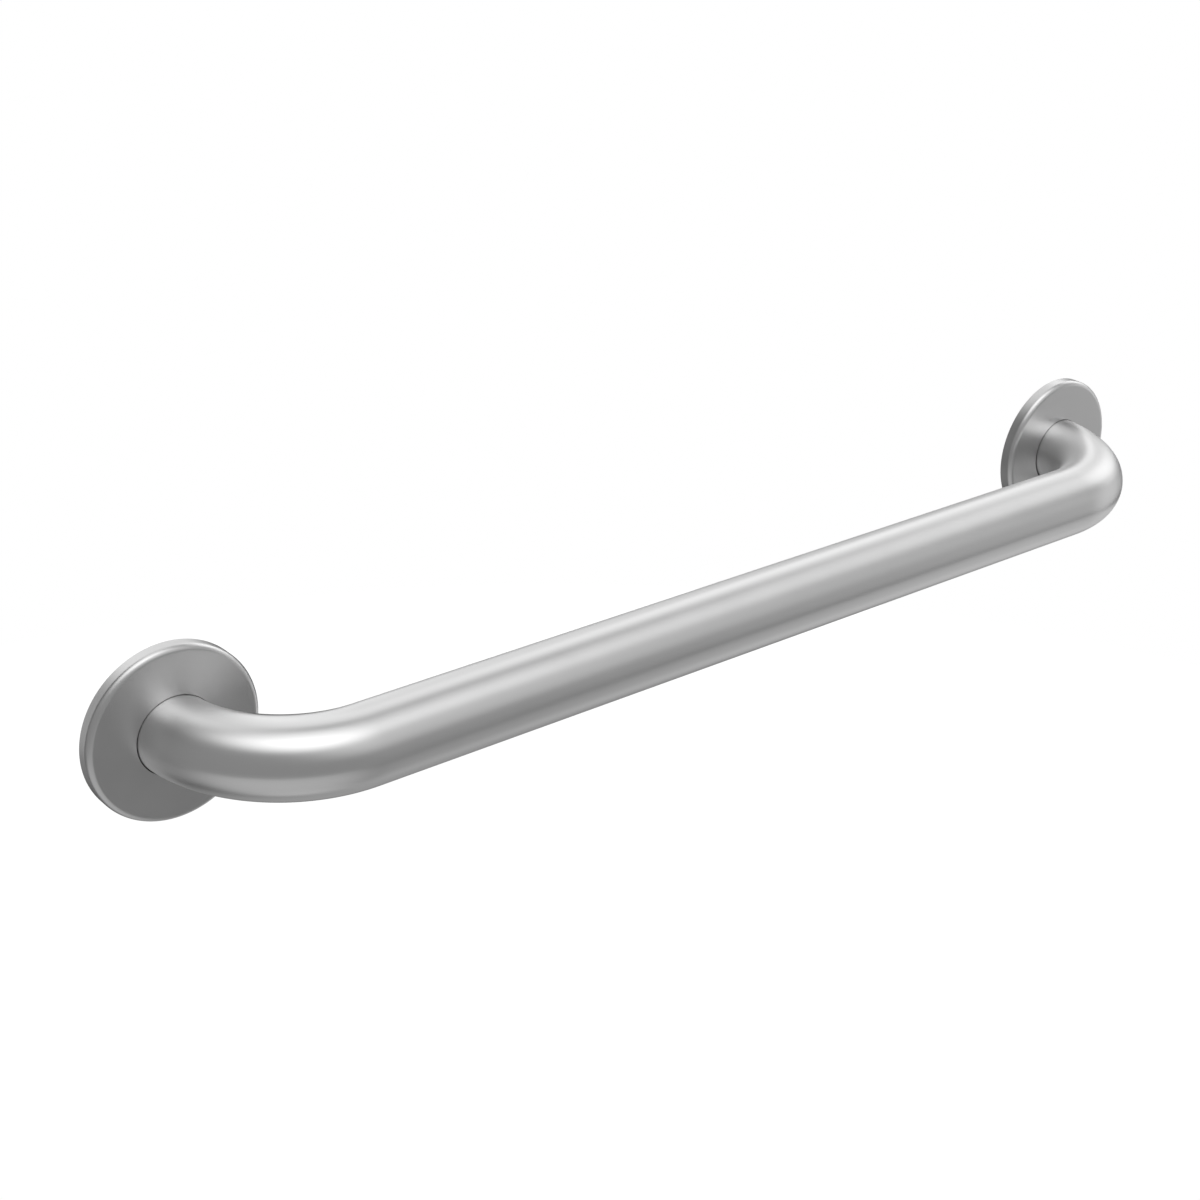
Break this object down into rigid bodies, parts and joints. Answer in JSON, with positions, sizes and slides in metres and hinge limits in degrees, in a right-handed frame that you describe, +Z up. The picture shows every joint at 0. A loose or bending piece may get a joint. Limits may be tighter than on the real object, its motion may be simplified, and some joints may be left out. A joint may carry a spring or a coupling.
{
  "type": "grab bar",
  "caption": "Straight wall grab bar: a satin steel tube bent back to the wall at both ends, with concealed screw flanges under round covers that slide along the tube.",
  "frame": {"origin": "midway between the two flange centres, on the wall plane (the flanges' back faces)", "axes": "+X along the grip, +Y into the wall, +Z up; the grip stands off the wall at -Y"},
  "size_m": [0.5716, 0.07, 0.0716],
  "materials": {
    "satin_steel": "satin, ground round the tube",
    "cover_steel": "satin",
    "flange_steel": "mill finish plate",
    "weld_steel": "weld bead, lightly heat tinted"
  },
  "bodies": {
    "bar": {"grab_tube": "satin_steel", "left_mounting_flange": "flange_steel", "right_mounting_flange": "flange_steel", "left_weld_bead": "weld_steel", "right_weld_bead": "weld_steel"},
    "left_cover": {"left_cover": "cover_steel"},
    "right_cover": {"right_cover": "cover_steel"}
  },
  "joints": [
    {"name": "left_cover_slide", "type": "hinge", "parent": "bar", "child": "left_cover", "pos_m": [-0.198, -0.002, 0], "axis": [0, 0, 1], "range_deg": [0, 80]},
    {"name": "right_cover_slide", "type": "hinge", "parent": "bar", "child": "right_cover", "pos_m": [0.198, -0.002, 0], "axis": [0, 0, -1], "range_deg": [0, 80]}
  ]
}
